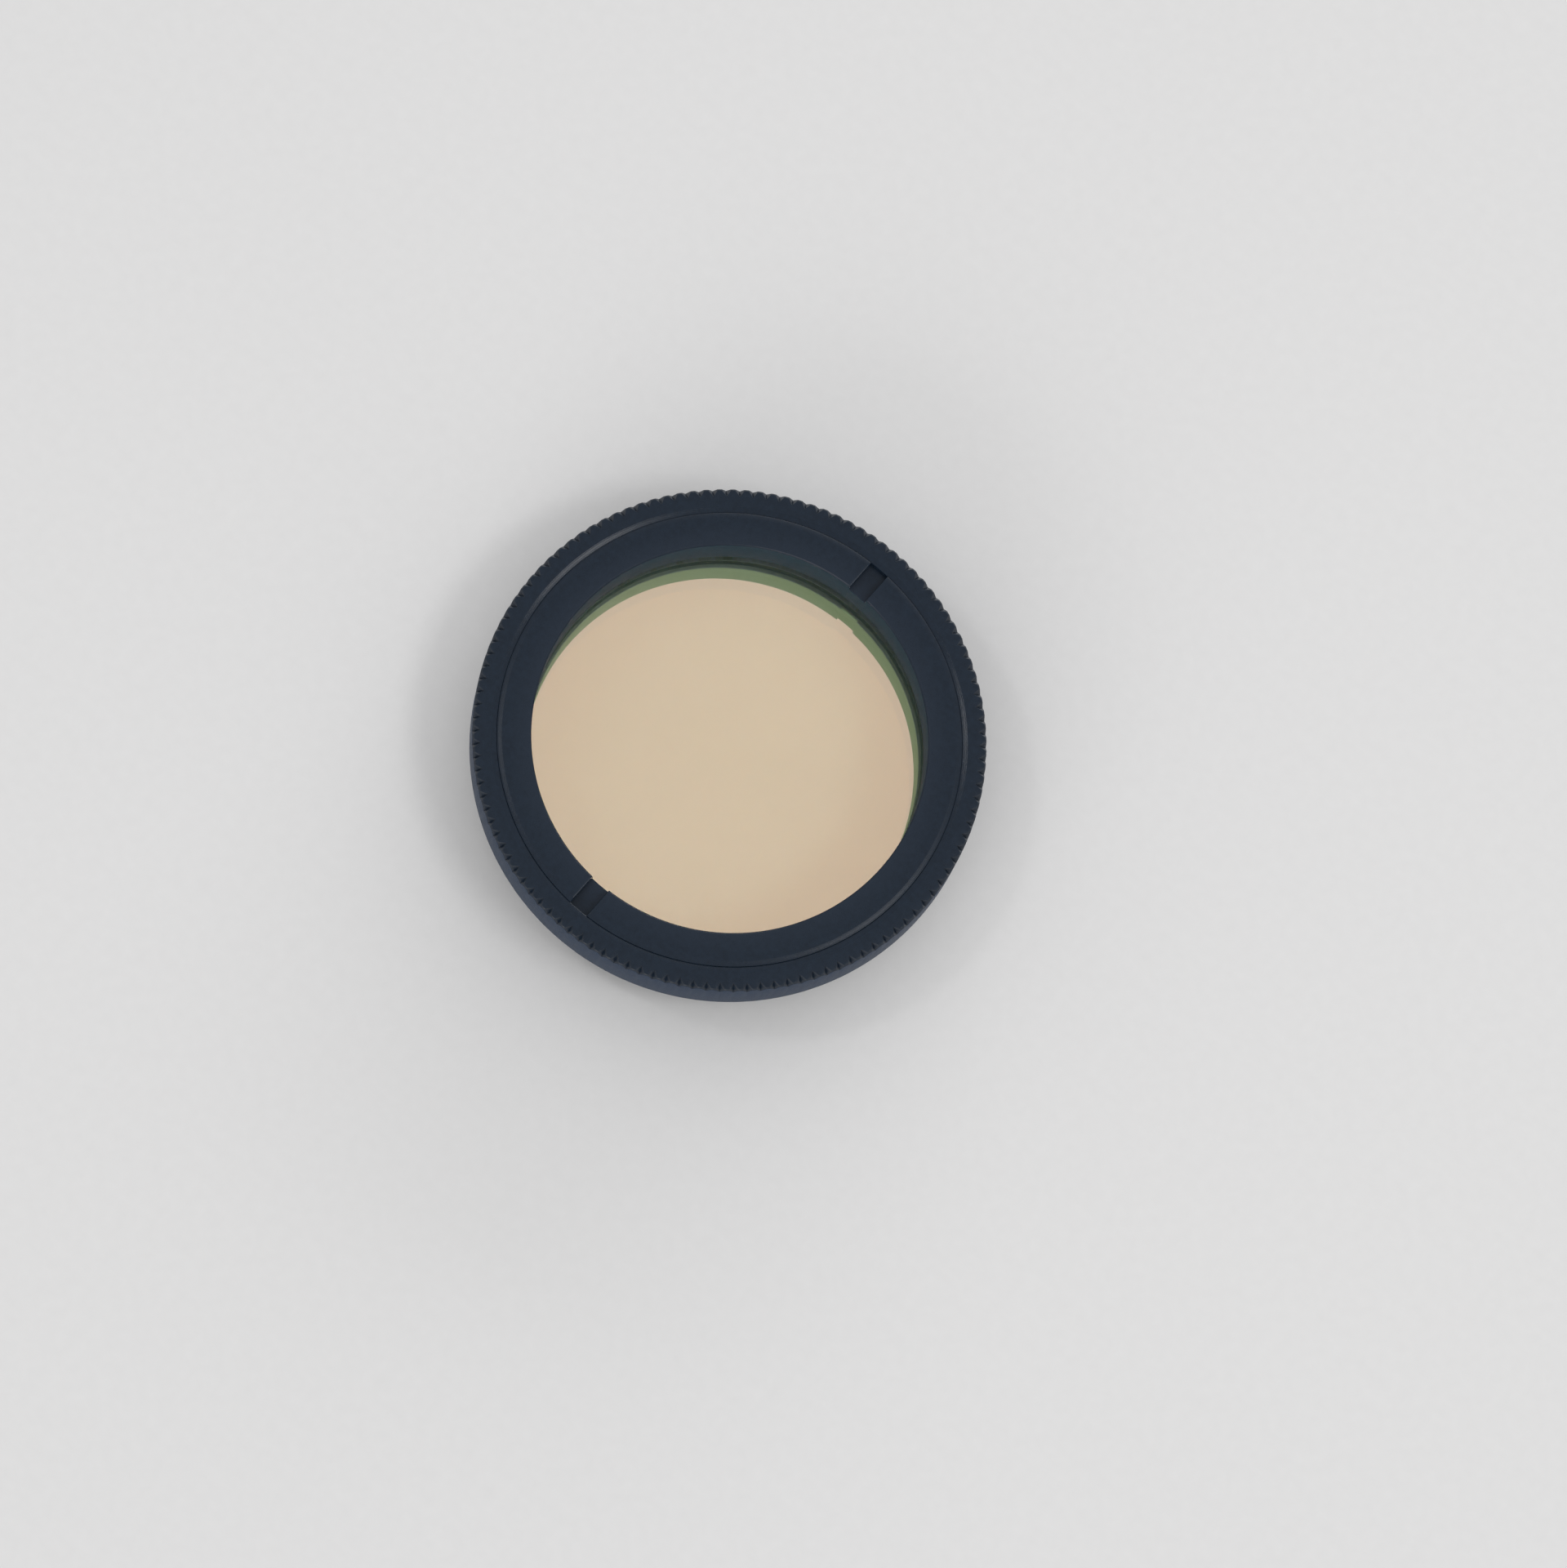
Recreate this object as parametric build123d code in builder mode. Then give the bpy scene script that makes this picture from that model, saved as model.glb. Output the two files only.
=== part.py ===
from build123d import *
import math
import os

os.makedirs("parts", exist_ok=True)

# Screw-in filter for a telescope eyepiece. A coated glass disc lies on a ledge
# inside a turned aluminium cell, and a slotted ring screwed into the cell's mouth
# holds it down. Millimetres, +Z up, origin at the centre of the cell's lower end.

# Stack along the axis, from the lower end up to the rim
lower_recess_depth = 0.85
ledge_thickness = 0.8
glass_thickness = 2.0
ring_height = 2.75

# Male thread M28.5 x 0.6, as a plain cylinder at its major diameter
thread_radius = 14.25
spigot_length = 2.75
thread_lead_chamfer = 0.3
relief_depth = 0.4
relief_flat = 0.2
shoulder_relief_depth = 0.05
shoulder_relief_reach = 0.1

# Flange above the thread, with its smooth band
mouth_wall = 1.5
band_foot_chamfer = 0.2

# Knurl: V-shaped notches cut at 45 degrees across the flange's top corner
knurl_notches = 118
notch_size = 0.5
notch_overrun = 0.1

# Mouth of the cell, where the ring screws in
mouth_bevel_width = 0.37
mouth_bevel_depth = 0.2
mouth_undercut = 0.25

# Glass, its pocket in the spigot and the ledge under it
spigot_wall = 0.79
glass_side_clearance = 0.06
glass_edge_bevel = 0.15
ledge_overlap = 0.75
lower_bore_step = 0.65
lower_mouth_chamfer = 0.25

# Retaining ring
ring_face_width = 2.05
ring_thread_clearance = 0.05
ring_joint_chamfer = 0.05
ring_bore_chamfer = 0.1
ring_foot_chamfer = 0.2
slot_width = 1.3
slot_depth = 0.6

# Heights that follow from the sizes above
ledge_top = lower_recess_depth + ledge_thickness
glass_top = ledge_top + glass_thickness
rim_top = glass_top + ring_height
mouth_floor = glass_top - mouth_undercut

# Radii that follow from the sizes above
band_radius = thread_radius + mouth_wall
notch_radius = band_radius - notch_size
relief_radius = thread_radius - relief_depth
shoulder_radius = thread_radius + shoulder_relief_reach
pocket_radius = relief_radius - spigot_wall
glass_radius = pocket_radius - glass_side_clearance
ledge_radius = glass_radius - ledge_overlap
lower_bore_radius = ledge_radius + lower_bore_step
mouth_radius = thread_radius
ring_outer_radius = mouth_radius - ring_thread_clearance
ring_inner_radius = ring_outer_radius - ring_face_width

# A notch starts at notch_radius on the rim and ends notch_size below it on the band.
# Its cutter is a right-angled V that overruns both ends and the corner between them.
notch_start = Plane(
    origin=(notch_radius - notch_overrun, 0, rim_top + notch_overrun),
    x_dir=(0, 1, 0),
    z_dir=(1, 0, -1),
)
notch_reach = notch_size / math.sqrt(2) + notch_overrun
notch_run = math.sqrt(2) * (notch_size + 2 * notch_overrun)

# Cutter for one notch of the knurl
with BuildPart() as notch_cutter:
    with BuildSketch(notch_start):
        Polygon((0, 0), (notch_reach, notch_reach), (-notch_reach, notch_reach), align=None)
    extrude(amount=notch_run)

# Cell: one turned piece, its half section revolved about Z
with BuildPart() as cell:
    with BuildSketch(Plane.XZ):
        with BuildLine():
            Polyline(
                # lower end, male thread and the relief above it
                (lower_bore_radius + lower_mouth_chamfer, 0),
                (thread_radius - thread_lead_chamfer, 0),
                (thread_radius, thread_lead_chamfer),
                (thread_radius, spigot_length - relief_flat - relief_depth),
                (relief_radius, spigot_length - relief_flat),
                (relief_radius, spigot_length + shoulder_relief_depth),
                (shoulder_radius, spigot_length + shoulder_relief_depth),
                (shoulder_radius, spigot_length),
                # shoulder, smooth band and rim
                (band_radius - band_foot_chamfer, spigot_length),
                (band_radius, spigot_length + band_foot_chamfer),
                (band_radius, rim_top),
                # mouth, glass pocket, ledge and lower bore
                (mouth_radius + mouth_bevel_width, rim_top),
                (mouth_radius, rim_top - mouth_bevel_depth),
                (mouth_radius, mouth_floor),
                (pocket_radius, mouth_floor),
                (pocket_radius, ledge_top),
                (ledge_radius, ledge_top),
                (ledge_radius, lower_recess_depth),
                (lower_bore_radius, lower_recess_depth),
                (lower_bore_radius, lower_mouth_chamfer),
                close=True,
            )
        make_face()
    revolve(axis=Axis.Z)

    # Knurl round the top corner
    with PolarLocations(0, knurl_notches):
        add(notch_cutter.part, mode=Mode.SUBTRACT)
cell.part.label = "cell"

# Filter glass: a plane disc with bevelled edges, flat on the cell's ledge
with BuildPart() as filter_glass:
    with BuildSketch(Plane.XY.offset(ledge_top)):
        Circle(glass_radius)
    extrude(amount=glass_thickness)
    chamfer(filter_glass.edges().filter_by(GeomType.CIRCLE), length=glass_edge_bevel)
filter_glass.part.label = "filter_glass"

# Retaining ring: screwed down on the glass, its top face level with the rim
with BuildPart() as retaining_ring:
    with BuildSketch(Plane.XZ):
        with BuildLine():
            Polyline(
                (ring_inner_radius + ring_foot_chamfer, glass_top),
                (ring_outer_radius - ring_foot_chamfer, glass_top),
                (ring_outer_radius, glass_top + ring_foot_chamfer),
                (ring_outer_radius, rim_top - ring_joint_chamfer),
                (ring_outer_radius - ring_joint_chamfer, rim_top),
                (ring_inner_radius + ring_bore_chamfer, rim_top),
                (ring_inner_radius, rim_top - ring_bore_chamfer),
                (ring_inner_radius, glass_top + ring_foot_chamfer),
                close=True,
            )
        make_face()
    revolve(axis=Axis.Z)

    # Two slots for a key, made by one cut straight across the ring
    with BuildSketch(Plane.XY.offset(rim_top - slot_depth)):
        Rectangle(slot_width, 2 * mouth_radius)
    extrude(amount=slot_depth, mode=Mode.SUBTRACT)
retaining_ring.part.label = "retaining_ring"

export_step(cell.part, "parts/cell.step")
export_step(filter_glass.part, "parts/filter_glass.step")
export_step(retaining_ring.part, "parts/retaining_ring.step")
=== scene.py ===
import math

import bmesh
import bpy
from mathutils import Matrix, Vector


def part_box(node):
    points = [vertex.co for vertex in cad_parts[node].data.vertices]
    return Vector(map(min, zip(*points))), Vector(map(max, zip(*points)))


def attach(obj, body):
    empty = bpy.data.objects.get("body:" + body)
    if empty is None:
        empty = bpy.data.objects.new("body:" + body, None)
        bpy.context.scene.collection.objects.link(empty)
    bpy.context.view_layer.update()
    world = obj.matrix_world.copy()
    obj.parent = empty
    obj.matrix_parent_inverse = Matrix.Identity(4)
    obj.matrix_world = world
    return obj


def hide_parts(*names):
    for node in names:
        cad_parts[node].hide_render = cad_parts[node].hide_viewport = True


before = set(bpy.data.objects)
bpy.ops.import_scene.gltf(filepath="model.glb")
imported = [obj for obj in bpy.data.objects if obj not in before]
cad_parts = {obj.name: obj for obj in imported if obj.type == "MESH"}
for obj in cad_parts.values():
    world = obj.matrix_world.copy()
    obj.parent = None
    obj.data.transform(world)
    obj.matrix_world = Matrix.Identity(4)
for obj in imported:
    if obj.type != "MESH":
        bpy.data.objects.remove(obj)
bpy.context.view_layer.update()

# A screw-in eyepiece filter. Lengths are in millimetres until a mesh is made,
# and the sizes that the frame holds are read from it.
MM = 0.001


def frame_size(node):
    """A node's outer radius, lowest and highest level, in millimetres."""
    low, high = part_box(node)
    return high[0] / MM, low[2] / MM, high[2] / MM


band_radius, cell_foot, rim_top = frame_size("cell")
glass_radius, ledge_top, glass_top = frame_size("filter_glass")
ring_outer, _, _ = frame_size("retaining_ring")

# Cell, outside
thread_radius = 14.25
spigot_length = 2.75
lead_chamfer = 0.3
relief_radius = 13.85
relief_flat = 0.2
shoulder_radius = 14.35
shoulder_relief = 0.05
band_chamfer = 0.2
corner_chamfer = 0.1

# Cell, inside
bevel_width = 0.37
bevel_depth = 0.12
mouth_floor = glass_top - 0.25
pocket_radius = 13.06
ledge_radius = 12.25
lower_bore_radius = 12.9
lower_recess = 0.85
lower_chamfer = 0.25

# Male thread, M28.5 x 0.6, and the places in one pitch where its surface has rows
thread_pitch = 0.6
thread_depth = 0.34
crest_share = 0.12
root_share = 0.76
thread_rows = (0.12, 0.28, 0.44, 0.56, 0.72, 0.88)

# Knurl: right-angled notches cut at 45 degrees across the flange's top corner
knurl_notches = 118
notch_size = 0.5
notch_ease = 0.02

# Ring and glass
ring_inner = 12.15
joint_fit = 0.005
joint_slope = 0.30
joint_depth = 0.08
ring_lift = 0.01
bore_chamfer = 0.1
ring_foot_chamfer = 0.2
bore_foot_ease = 0.05
slot_width = 1.3
slot_depth = 0.6
slot_ease = 0.08
glass_bevel = 0.15

# Small radii on turned edges
edge_break = 0.03
fine_edge = 0.02

# Meshes: columns round the glass and round each half of the ring, the distance under
# which points are one, and the angles in degrees above which an edge is sharp
glass_columns = 256
half_ring_columns = 360
weld_distance = 1e-5
metal_sharp = 30
glass_sharp = 10


def rounded(outline, size, steps=2):
    """An outline with each corner between its two ends eased by a short curve."""
    points = [outline[0]]
    for i in range(1, len(outline) - 1):
        corner = Vector(outline[i])
        before = Vector(outline[i - 1]) - corner
        after = Vector(outline[i + 1]) - corner
        reach = min(size, 0.4 * before.length, 0.4 * after.length)
        start = corner + before.normalized() * reach
        end = corner + after.normalized() * reach
        for k in range(steps + 1):
            u = k / steps
            points.append(tuple((1 - u) ** 2 * start + 2 * u * (1 - u) * corner + u**2 * end))
    points.append(outline[-1])
    return points


def piece(name, points, faces, sharp_angle):
    """A mesh object from points in millimetres, shaded smooth apart from its sharp edges."""
    mesh = bpy.data.meshes.new(name)
    mesh.from_pydata([Vector(p) * MM for p in points], [], faces)
    work = bmesh.new()
    work.from_mesh(mesh)
    bmesh.ops.remove_doubles(work, verts=work.verts, dist=weld_distance * MM)
    bmesh.ops.dissolve_degenerate(work, edges=work.edges, dist=weld_distance * MM)
    bmesh.ops.recalc_face_normals(work, faces=work.faces)
    work.to_mesh(mesh)
    work.free()
    mesh.shade_smooth()
    mesh.set_sharp_from_angle(angle=math.radians(sharp_angle))
    made = bpy.data.objects.new(name, mesh)
    bpy.context.scene.collection.objects.link(made)
    return made


def lathe(name, columns, sharp_angle, closed=True):
    """Joins columns of points into a turned surface. The last column lies on the first."""
    height = len(columns[0])
    rows = height if closed else height - 1
    points = [p for column in columns for p in column]
    faces = []
    for i in range(len(columns) - 1):
        for k in range(rows):
            m = (k + 1) % height
            faces.append(
                (i * height + k, (i + 1) * height + k, (i + 1) * height + m, i * height + m)
            )
    return piece(name, points, faces, sharp_angle)


def turned(angle, radius, height):
    """The point at that angle, radius and height."""
    return radius * math.cos(angle), radius * math.sin(angle), height


def thread_surface(angle, height):
    """Radius of the right-hand male thread at that place."""
    phase = (height / thread_pitch - angle / math.tau) % 1.0
    away = abs(2 * phase - 1)
    slope = (away - crest_share) / (root_share - crest_share)
    return thread_radius - thread_depth * min(max(slope, 0.0), 1.0)


def spigot_radius(height):
    """Radius of the spigot before its thread is cut: lead chamfer, full size, relief."""
    lead = thread_radius - lead_chamfer + height
    relief_top = spigot_length - relief_flat
    return min(lead, thread_radius, relief_radius + relief_top - height)


def spigot_column(angle):
    """Rows that follow the thread's helix from the lower end to the relief."""
    relief_top = spigot_length - relief_flat
    lead = angle / math.tau * thread_pitch
    column = []
    for turn in range(-1, math.ceil(relief_top / thread_pitch) + 1):
        for share in thread_rows:
            height = min(max(lead + (turn + share) * thread_pitch, cell_foot), relief_top)
            radius = min(spigot_radius(height), thread_surface(angle, height))
            column.append((radius, height))
    return column


def knurl_columns():
    """Angle of each column of the cell, and how far the knurl cuts back the rim there."""
    pitch = math.tau / knurl_notches
    reach = (notch_size - corner_chamfer) / math.sqrt(2)
    eased = corner_chamfer + 1.2 * notch_ease
    marks = [
        (0.0, notch_size),
        (reach - notch_ease, eased),
        (reach + notch_ease, corner_chamfer),
        (0.5 * pitch * band_radius, corner_chamfer),
        (pitch * band_radius - reach - notch_ease, corner_chamfer),
        (pitch * band_radius - reach + notch_ease, eased),
    ]
    for i in range(knurl_notches):
        for across, cut in marks:
            yield i * pitch + across / band_radius, cut
    yield math.tau, notch_size


def cell_outside(cut):
    """Half section from the relief up over the band and rim, down to the lower end's bore."""
    shoulder = spigot_length + shoulder_relief
    return rounded(
        [
            (relief_radius, spigot_length - relief_flat),
            (relief_radius, shoulder),
            (shoulder_radius, shoulder),
            (shoulder_radius, spigot_length),
            (band_radius - band_chamfer, spigot_length),
            (band_radius, spigot_length + band_chamfer),
            (band_radius, rim_top - cut),
            (band_radius - cut, rim_top),
            (thread_radius + bevel_width, rim_top),
            (thread_radius, rim_top - bevel_depth),
            (thread_radius, mouth_floor),
            (pocket_radius, mouth_floor),
            (pocket_radius, ledge_top),
            (ledge_radius, ledge_top),
            (ledge_radius, lower_recess),
            (lower_bore_radius, lower_recess),
            (lower_bore_radius, lower_chamfer),
            (lower_bore_radius + lower_chamfer, cell_foot),
            (thread_radius - lead_chamfer - edge_break, cell_foot),
        ],
        edge_break,
    )


def make_cell():
    """The turned cell, with its knurled rim, male thread, pocket and ledge."""
    columns = []
    for angle, cut in knurl_columns():
        column = spigot_column(angle) + cell_outside(cut)[1:]
        columns.append([turned(angle, radius, height) for radius, height in column])
    return lathe("cell_body", columns, metal_sharp)


def slot_columns(segments):
    """Columns of the ring: side, offset from the slot's middle, top level, share of the way round."""
    half = slot_width / 2
    floor = rim_top - slot_depth
    part_way = 0.3 * slot_ease
    across = (
        (-half - slot_ease, rim_top),
        (-half - part_way, rim_top - part_way),
        (-half, rim_top - slot_ease),
        (-half, floor),
        (0.0, floor),
        (half, floor),
        (half, rim_top - slot_ease),
        (half + part_way, rim_top - part_way),
        (half + slot_ease, rim_top),
    )
    columns = []
    for side in (0.0, math.pi):
        for offset, level in across:
            columns.append((side, offset, level, None))
        for k in range(1, segments):
            columns.append((side, half + slot_ease, rim_top, k / segments))
    return columns


def make_ring():
    """The retaining ring, with its two slots on the Y axis."""
    middle = (ring_inner + ring_outer) / 2
    threaded = thread_radius - joint_fit
    foot = glass_top + ring_lift
    outline = rounded(
        [
            (middle, foot),
            (threaded - ring_foot_chamfer, foot),
            (threaded, foot + ring_foot_chamfer),
            (threaded, rim_top - joint_depth),
            (threaded - joint_slope, rim_top),
            (ring_inner + bore_chamfer, rim_top),
            (ring_inner, rim_top - bore_chamfer),
            (ring_inner, foot + bore_foot_ease),
            (ring_inner + bore_foot_ease, foot),
            (middle, foot),
        ],
        fine_edge,
    )
    columns = []
    for side, offset, level, share in slot_columns(half_ring_columns):
        column = []
        for radius, height in outline:
            angle = math.asin(offset / radius)
            if share is not None:
                angle += share * (math.pi - 2 * angle)
            column.append(turned(angle + math.pi / 2 + side, radius, min(height, level)))
        columns.append(column)
    columns.append(columns[0])
    return lathe("ring_body", columns, metal_sharp)


def make_glass():
    """The glass disc, with its bevelled and ground edge."""
    outline = [
        (0.0, ledge_top),
        (glass_radius * 0.5, ledge_top),
        (glass_radius - glass_bevel, ledge_top),
        (glass_radius, ledge_top + glass_bevel),
        (glass_radius, glass_top - glass_bevel),
        (glass_radius - glass_bevel, glass_top),
        (glass_radius * 0.5, glass_top),
        (0.0, glass_top),
    ]
    columns = [
        [turned(math.tau * i / glass_columns, radius, height) for radius, height in outline]
        for i in range(glass_columns + 1)
    ]
    return lathe("glass_disc", columns, glass_sharp, closed=False)


class Nodes:
    """A new material's node tree, with short ways to add nodes to it."""

    def __init__(self, name):
        self.material = bpy.data.materials.new(name)
        self.material.use_nodes = True
        self.tree = self.material.node_tree
        self.tree.nodes.clear()
        self.output = self.add("ShaderNodeOutputMaterial")

    def add(self, kind, **values):
        """A node, with its settings and plain input values."""
        node = self.tree.nodes.new(kind)
        for key, value in values.items():
            if hasattr(node, key) and key not in node.inputs:
                setattr(node, key, value)
            else:
                node.inputs[key].default_value = value
        return node

    def link(self, source, target):
        self.tree.links.new(source, target)

    def millimetres(self):
        """The object's own coordinates, in millimetres."""
        coordinates = self.add("ShaderNodeTexCoord")
        scale = self.add("ShaderNodeVectorMath", operation="SCALE", Scale=1 / MM)
        self.link(coordinates.outputs["Object"], scale.inputs[0])
        return scale.outputs[0]

    def noise(self, where, scale, detail=3.0, roughness=0.55):
        node = self.add("ShaderNodeTexNoise", Scale=scale, Detail=detail, Roughness=roughness)
        self.link(where, node.inputs["Vector"])
        return node.outputs["Fac"]

    def ranged(self, value, low, high, to_low, to_high):
        """value taken from one range to another."""
        node = self.add("ShaderNodeMapRange")
        keys = ("From Min", "From Max", "To Min", "To Max")
        for key, number in zip(keys, (low, high, to_low, to_high)):
            node.inputs[key].default_value = number
        self.link(value, node.inputs["Value"])
        return node.outputs["Result"]

    def maths(self, operation, a, b):
        node = self.add("ShaderNodeMath", operation=operation)
        for socket, source in zip(node.inputs, (a, b)):
            if isinstance(source, float):
                socket.default_value = source
            else:
                self.link(source, socket)
        return node.outputs[0]

    def blend(self, factor, first, second):
        """A colour between two others, each a plain colour or another node's output."""
        node = self.add("ShaderNodeMix", data_type="RGBA")
        self.link(factor, node.inputs[0])
        for socket, colour in zip(node.inputs[6:8], (first, second)):
            if isinstance(colour, tuple):
                socket.default_value = (*colour, 1)
            else:
                self.link(colour, socket)
        return node.outputs[2]


# Colours are linear
anodised_dark = (0.0060, 0.0120, 0.0220)
anodised_light = (0.0088, 0.0170, 0.0305)
# Band: lighter and bluer than the anodising, painted light for the light the side wall catches; its
# lower gloss is its own finish
band_painted_lit_dark = (0.013, 0.026, 0.052)
band_painted_lit_bright = (0.018, 0.035, 0.068)
# Painted highlight along the knurl's notch edges, for the light the notch facets catch
knurl_painted_highlight = (0.024, 0.030, 0.040)
# Painted light: the ring's face is made lighter towards its bore
face_painted_light = (0.0125, 0.0205, 0.0345)
# Bore: lighter and bluer than the anodising, painted light for the light its wall shows; its matt
# gloss is its own finish
bore_painted_lit_dark = (0.0125, 0.033, 0.052)
bore_painted_lit_bright = (0.0175, 0.045, 0.070)
# Ring's foot: painted light, bright blue for the teal light it shows in the glass's reflection
foot_painted_lit_dark = (0.055, 0.14, 0.26)
foot_painted_lit_bright = (0.070, 0.17, 0.31)
seat_dark = (0.46, 0.50, 0.56)
seat_light = (0.54, 0.58, 0.64)
top_mirror = (0.118, 0.170, 0.062)
top_passes = (0.882, 0.830, 0.938)
foot_mirror = (0.745, 0.522, 0.380)
foot_passes = (0.325, 0.400, 0.330)
ground_dark = (0.33, 0.37, 0.37)
ground_light = (0.45, 0.50, 0.50)
floor_light = (0.715, 0.712, 0.712)
floor_dark = (0.675, 0.672, 0.672)
glass_ior = 1.52

# Gloss: specular levels, and the roughness of the roughest spots
metal_specular = 0.22
band_specular = 0.10
bore_specular = 0.18
face_roughness = 0.36
band_roughness = 0.5
bevel_roughness = 0.24
seat_roughness = 0.6
bore_roughness = 0.7
haze_roughness = 0.02

# Turning marks: distance from one to the next
cell_marks = 0.11
ring_marks = 0.085
bore_marks = 0.2

# Grain, mottle and wander of the marks in cycles a millimetre, and their relief
grain_scale = 26.0
mottle_scale = 3.2
wander_scale = 0.35
marks_share = 0.16
grain_relief = 0.012

# Haze and waviness of the coated faces
haze_scale = 0.22
wave_scale = 0.9
wave_relief = 0.001

# Painted highlight on the knurl's edges, for the light the notch facets catch: how soon it sets in,
# and where it fades
highlight_start = 0.03
highlight_full = 0.08
highlight_end = 0.16

# Painted light on the ring's face, from its bore outwards
painted_light_width = 1.4


def knurl_highlight_mask(n, radius, level):
    """Where the painted highlight goes: 1 along the edges of the notches and on the corner that they
    cross, 0 elsewhere.
    """
    below = n.maths("SUBTRACT", rim_top, level)
    inside = n.maths("SUBTRACT", band_radius, radius)
    beyond = n.maths("SUBTRACT", radius, band_radius - notch_size - highlight_start)
    above = n.maths("SUBTRACT", level, rim_top - notch_size - highlight_start)
    near = n.maths("MINIMUM", beyond, above)
    cut = n.maths("MINIMUM", n.maths("MINIMUM", below, inside), near)
    return n.maths(
        "MULTIPLY",
        n.ranged(cut, 0.0, highlight_start, 0.0, 1.0),
        n.ranged(cut, highlight_full, highlight_end, 1.0, 0.0),
    )


def painted_face_light_mask(n, radius, level):
    """Where the painted light goes: 1 at the ring's bore, fading to 0 across its face."""
    return n.ranged(radius, ring_inner, ring_inner + painted_light_width, 1.0, 0.0)


def anodised(name, ring_pitch, colours, specular, roughest, lit_colour=None, lit_mask=None):
    """Black anodised aluminium: a fine matt grain over faint turning marks, with painted light in
    places.
    """
    n = Nodes(name)
    where = n.millimetres()
    parts = n.add("ShaderNodeSeparateXYZ")
    n.link(where, parts.inputs[0])
    squares = n.maths(
        "ADD", n.maths("POWER", parts.outputs[0], 2.0), n.maths("POWER", parts.outputs[1], 2.0)
    )
    radius = n.maths("SQRT", squares, 0.0)
    along = n.maths("ADD", radius, n.maths("MULTIPLY", parts.outputs[2], 0.73))
    wander = n.maths("MULTIPLY", n.noise(where, wander_scale), 0.5 * ring_pitch)
    phase = n.maths("MULTIPLY", n.maths("ADD", along, wander), math.tau / ring_pitch)
    marks = n.maths("SINE", phase, 0.0)
    grain = n.noise(where, grain_scale, 2.0)
    mottle = n.noise(where, mottle_scale, 4.0, 0.6)
    height = n.maths("ADD", n.maths("MULTIPLY", marks, marks_share), grain)
    bump = n.add("ShaderNodeBump", Strength=0.32, Distance=grain_relief * MM)
    n.link(height, bump.inputs["Height"])
    colour = n.blend(n.ranged(mottle, 0.3, 0.7, 0.0, 1.0), *colours)
    # Painted light: a lighter colour blended in where the mask says
    if lit_mask:
        patchy = n.ranged(mottle, 0.3, 0.7, 0.7, 1.0)
        mask = n.maths("MULTIPLY", lit_mask(n, radius, parts.outputs[2]), patchy)
        colour = n.blend(mask, colour, lit_colour)
    shader = n.add("ShaderNodeBsdfPrincipled", Metallic=0.0)
    shader.inputs["IOR"].default_value = 1.5
    shader.inputs["Specular IOR Level"].default_value = specular
    n.link(colour, shader.inputs["Base Color"])
    n.link(n.ranged(grain, 0.3, 0.7, roughest - 0.1, roughest), shader.inputs["Roughness"])
    n.link(bump.outputs[0], shader.inputs["Normal"])
    n.link(shader.outputs[0], n.output.inputs["Surface"])
    return n.material


def coating(name, mirror, passes):
    """A coated face of the glass: it mirrors one colour and passes another on to the glass."""
    n = Nodes(name)
    where = n.millimetres()
    cloudy = n.noise(where, haze_scale, 3.0)
    bump = n.add("ShaderNodeBump", Strength=0.02, Distance=wave_relief * MM)
    n.link(n.noise(where, wave_scale, 2.0), bump.inputs["Height"])
    fainter = tuple(0.985 * value for value in mirror)
    reflects = n.add("ShaderNodeBsdfAnisotropic", distribution="GGX")
    tint = n.blend(n.ranged(cloudy, 0.35, 0.65, 0.0, 1.0), fainter, mirror)
    n.link(tint, reflects.inputs["Color"])
    n.link(n.ranged(cloudy, 0.35, 0.65, 0.0, haze_roughness), reflects.inputs["Roughness"])
    n.link(bump.outputs[0], reflects.inputs["Normal"])
    bends = n.add("ShaderNodeBsdfRefraction", Roughness=0.0, IOR=glass_ior)
    bends.inputs["Color"].default_value = (*passes, 1)
    both = n.add("ShaderNodeAddShader")
    n.link(reflects.outputs[0], both.inputs[0])
    n.link(bends.outputs[0], both.inputs[1])
    clear = n.add("ShaderNodeBsdfTransparent")
    clear.inputs["Color"].default_value = (*passes, 1)
    path = n.add("ShaderNodeLightPath")
    mix = n.add("ShaderNodeMixShader")
    n.link(path.outputs["Is Shadow Ray"], mix.inputs[0])
    n.link(both.outputs[0], mix.inputs[1])
    n.link(clear.outputs[0], mix.inputs[2])
    n.link(mix.outputs[0], n.output.inputs["Surface"])
    return n.material


def grained(name, colours, scale, smoothest, roughest, depth):
    """A matt surface with a grain of one scale in its colour, roughness and relief."""
    n = Nodes(name)
    where = n.millimetres()
    grain = n.noise(where, scale, 4.0)
    bump = n.add("ShaderNodeBump", Strength=0.3, Distance=depth * MM)
    n.link(grain, bump.inputs["Height"])
    shader = n.add("ShaderNodeBsdfPrincipled")
    shader.inputs["Specular IOR Level"].default_value = 0.1
    n.link(n.blend(grain, *colours), shader.inputs["Base Color"])
    n.link(n.ranged(grain, 0.3, 0.7, smoothest, roughest), shader.inputs["Roughness"])
    n.link(bump.outputs[0], shader.inputs["Normal"])
    n.link(shader.outputs[0], n.output.inputs["Surface"])
    return n.material


def finish_faces(made, materials, choose):
    """Gives a piece its materials and each face the one whose index choose(radius, z, up) names."""
    for material in materials:
        made.data.materials.append(material)
    for face in made.data.polygons:
        x, y, z = face.center / MM
        face.material_index = choose(math.hypot(x, y), z, face.normal.z)


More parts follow.
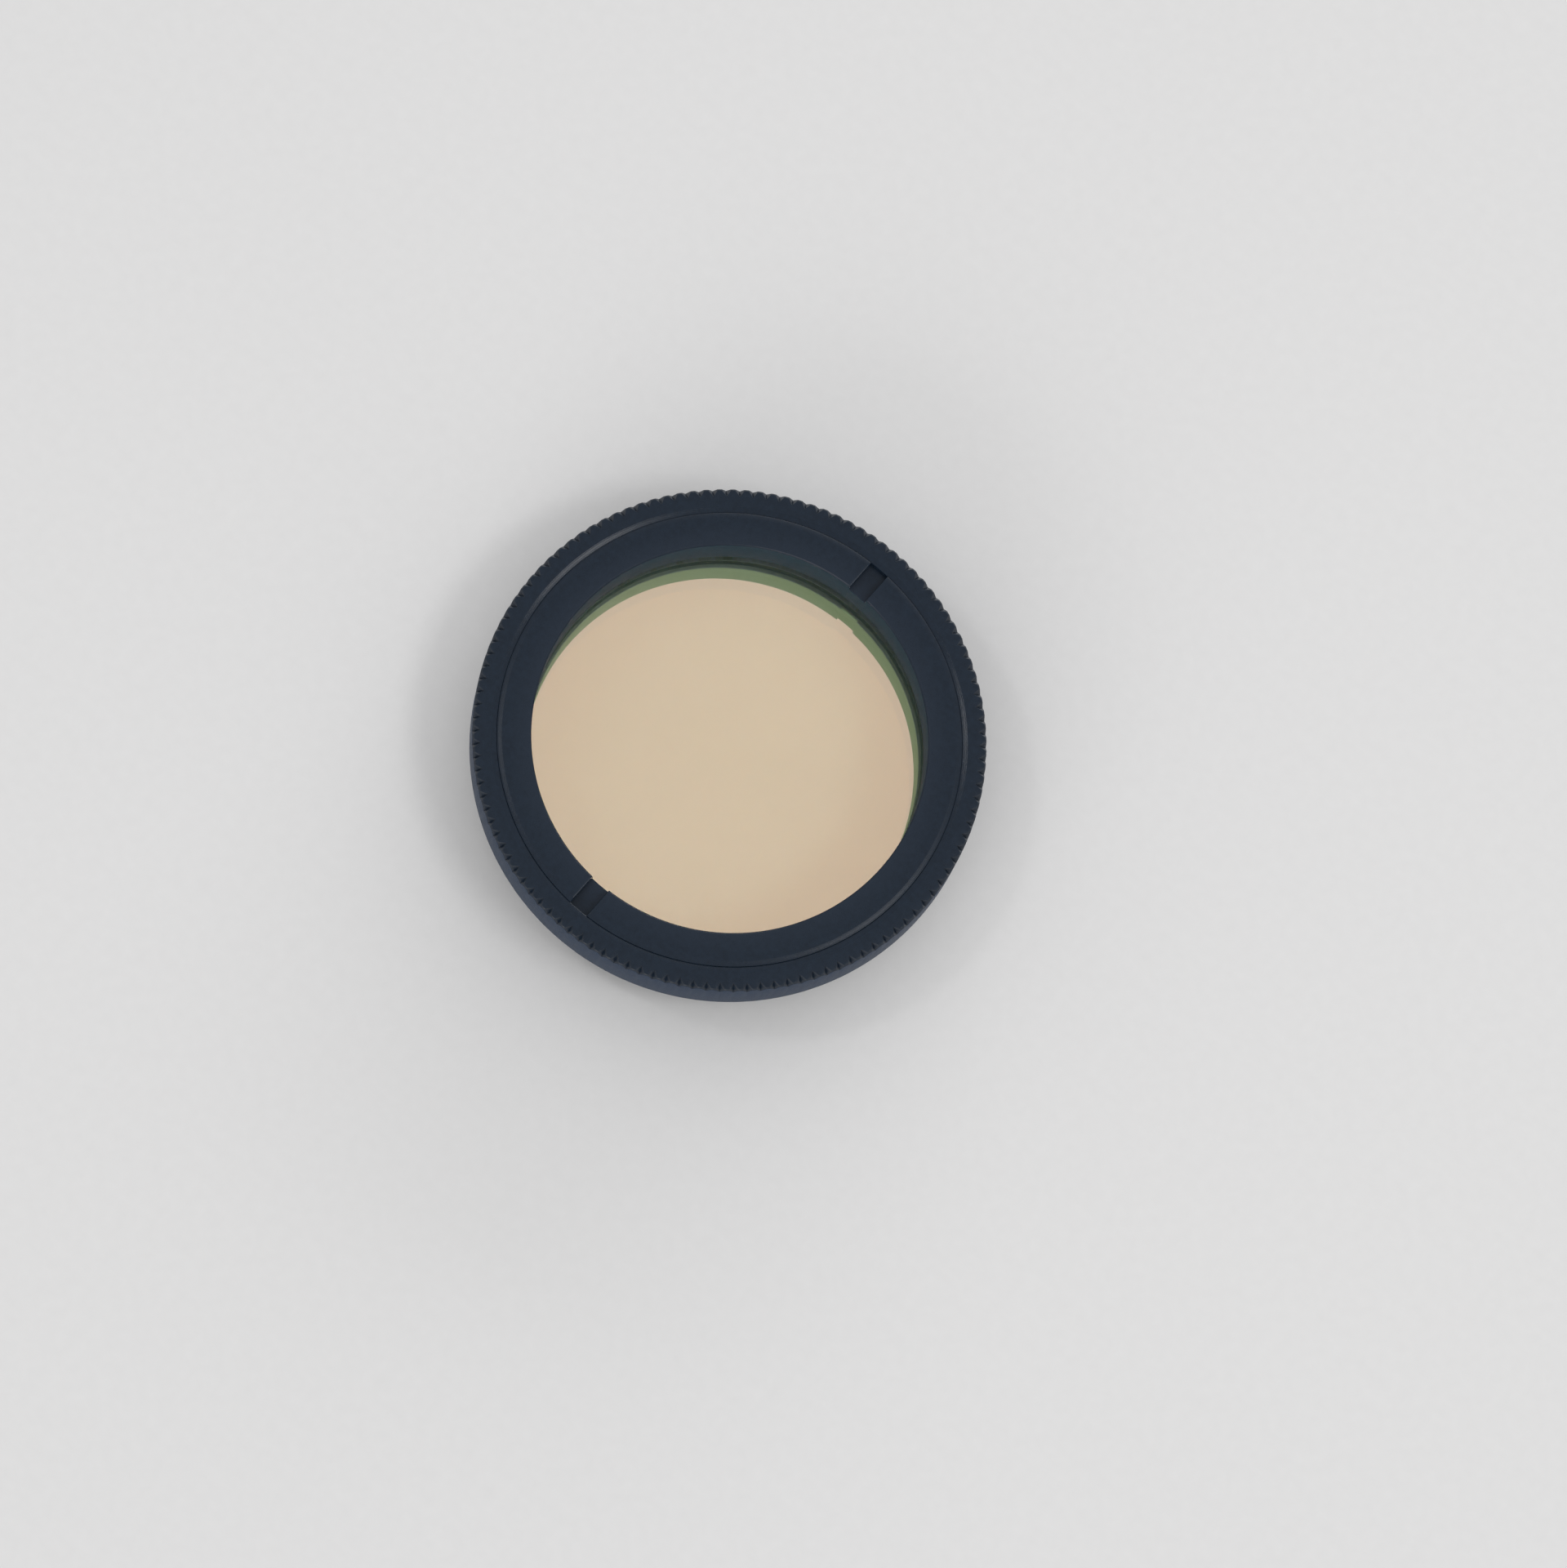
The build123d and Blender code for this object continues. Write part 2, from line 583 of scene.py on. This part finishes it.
def cell_finish(radius, z, up):
    """Band, mouth bevel and seat have finishes of their own, the band's with painted light; the rest
    is anodised, with a painted highlight on the knurl's edges.
    """
    if radius > band_radius - fine_edge and abs(up) < 0.5:
        return 1
    if thread_radius < radius < thread_radius + bevel_width and z > rim_top - 2 * bevel_depth:
        return 2
    if radius < pocket_radius and up > 0.9 and z < ledge_top + fine_edge:
        return 3
    return 0


def ring_finish(radius, z, up):
    """Bore and foot have finishes of their own, both with painted light; the rest is anodised, with
    painted light towards the bore.
    """
    if up < -0.5:
        return 2
    if radius < ring_inner + fine_edge and z < rim_top - bore_chamfer:
        return 1
    return 0


def glass_finish(radius, z, up):
    """Coatings on both flat faces and a ground edge."""
    if up > 0.9:
        return 1
    return 2 if up < -0.9 else 0


# The three pieces
black = (anodised_dark, anodised_light)
band = (band_painted_lit_dark, band_painted_lit_bright)
seat = (seat_dark, seat_light)
bore = (bore_painted_lit_dark, bore_painted_lit_bright)
foot = (foot_painted_lit_dark, foot_painted_lit_bright)
# The knurl's painted highlight: its colour and where it goes
knurled = (knurl_painted_highlight, knurl_highlight_mask)

cell = make_cell()
cell_materials = (
    anodised("cell_anodised", cell_marks, black, metal_specular, face_roughness, *knurled),
    anodised("band_painted_light", cell_marks, band, band_specular, band_roughness, *knurled),
    anodised("bevel_anodised", cell_marks, black, metal_specular, bevel_roughness),
    anodised("seat_bare", cell_marks, seat, metal_specular, seat_roughness),
)
finish_faces(cell, cell_materials, cell_finish)
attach(cell, "root")
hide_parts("cell")

ring = make_ring()
# The ring face's painted light: its colour and where it goes
painted_lightening = (face_painted_light, painted_face_light_mask)
ring_materials = (
    anodised("ring_anodised", ring_marks, black, metal_specular, face_roughness, *painted_lightening),
    anodised("bore_matt_painted_light", bore_marks, bore, bore_specular, bore_roughness),
    anodised("foot_painted_light", bore_marks, foot, bore_specular, bore_roughness),
)
finish_faces(ring, ring_materials, ring_finish)
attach(ring, "root")
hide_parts("retaining_ring")

glass = make_glass()
glass_materials = (
    grained("ground_edge", (ground_dark, ground_light), 9.0, 0.6, 0.75, 0.01),
    coating("top_coating", top_mirror, top_passes),
    coating("foot_coating", foot_mirror, foot_passes),
)
finish_faces(glass, glass_materials, glass_finish)
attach(glass, "root")
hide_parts("filter_glass")

# Floor, in metres
floor_mesh = bpy.data.meshes.new("floor")
half_floor = 3.0
floor_mesh.from_pydata(
    [(x * half_floor, y * half_floor, 0) for x, y in ((-1, -1), (1, -1), (1, 1), (-1, 1))],
    [],
    [(0, 1, 2, 3)],
)
floor = bpy.data.objects.new("floor", floor_mesh)
pale = (floor_dark, floor_light)
floor.data.materials.append(grained("pale_floor", pale, 1.2, 0.85, 0.95, 0.02))
bpy.context.scene.collection.objects.link(floor)

# Light: an even pale world, low lamps from the far and near sides, high ones left and right
world_level = 0.72
world = bpy.data.worlds.new("studio")
world.use_nodes = True
background = world.node_tree.nodes["Background"]
background.inputs["Color"].default_value = (1.0, 1.0, 1.0, 1)
background.inputs["Strength"].default_value = world_level
bpy.context.scene.world = world


def lamp(name, bearing, elevation, distance, width, height, power):
    """A soft rectangular lamp aimed at the filter: degrees, metres and watts."""
    data = bpy.data.lights.new(name, "AREA")
    data.shape = "RECTANGLE"
    data.size, data.size_y, data.energy = width, height, power
    made = bpy.data.objects.new(name, data)
    turn, rise = math.radians(bearing), math.radians(elevation)
    away = Vector(
        (math.cos(turn) * math.cos(rise), math.sin(turn) * math.cos(rise), math.sin(rise))
    )
    made.location = away * distance
    made.rotation_euler = away.to_track_quat("Z", "Y").to_euler()
    bpy.context.scene.collection.objects.link(made)


lamp("far_lamp", 105, 13, 0.9, 1.0, 0.20, 3.4)
lamp("near_lamp", -80, 20, 0.9, 0.8, 0.25, 2.1)
lamp("right_lamp", 11, 58, 0.6, 0.20, 0.12, 0.55)
lamp("left_lamp", 199, 57, 0.6, 0.06, 0.06, 0.2)

# Camera: the photograph's viewing angle, set from the rim's centre
photo_width, photo_height = 1919, 1920
focal_pixels = 8700
rim_centre_x, rim_centre_y = 894.4, 903.2
camera_distance = 433.3
camera_tilt = 14.53
camera_bearing = -69.5
camera_roll = 20.47

target = Vector((0, 0, rim_top)) * MM
tilt, bearing = math.radians(camera_tilt), math.radians(camera_bearing)
away = Vector(
    (math.sin(tilt) * math.cos(bearing), math.sin(tilt) * math.sin(bearing), math.cos(tilt))
)
camera = bpy.data.objects.new("camera", bpy.data.cameras.new("camera"))
camera.data.sensor_width = 36.0
camera.data.lens = focal_pixels / photo_height * camera.data.sensor_width
camera.data.shift_x = (photo_width / 2 - rim_centre_x) / photo_height
camera.data.shift_y = (rim_centre_y - photo_height / 2) / photo_height
camera.data.clip_start, camera.data.clip_end = 0.01, 20.0
camera.rotation_mode = "QUATERNION"
level = away.to_track_quat("Z", "Y")
camera.rotation_quaternion = level @ Matrix.Rotation(math.radians(camera_roll), 3, "Z").to_quaternion()
camera.location = target + away * camera_distance * MM
bpy.context.scene.collection.objects.link(camera)
bpy.context.scene.camera = camera
bpy.context.scene.view_settings.view_transform = "Standard"

bpy.context.view_layer.update()
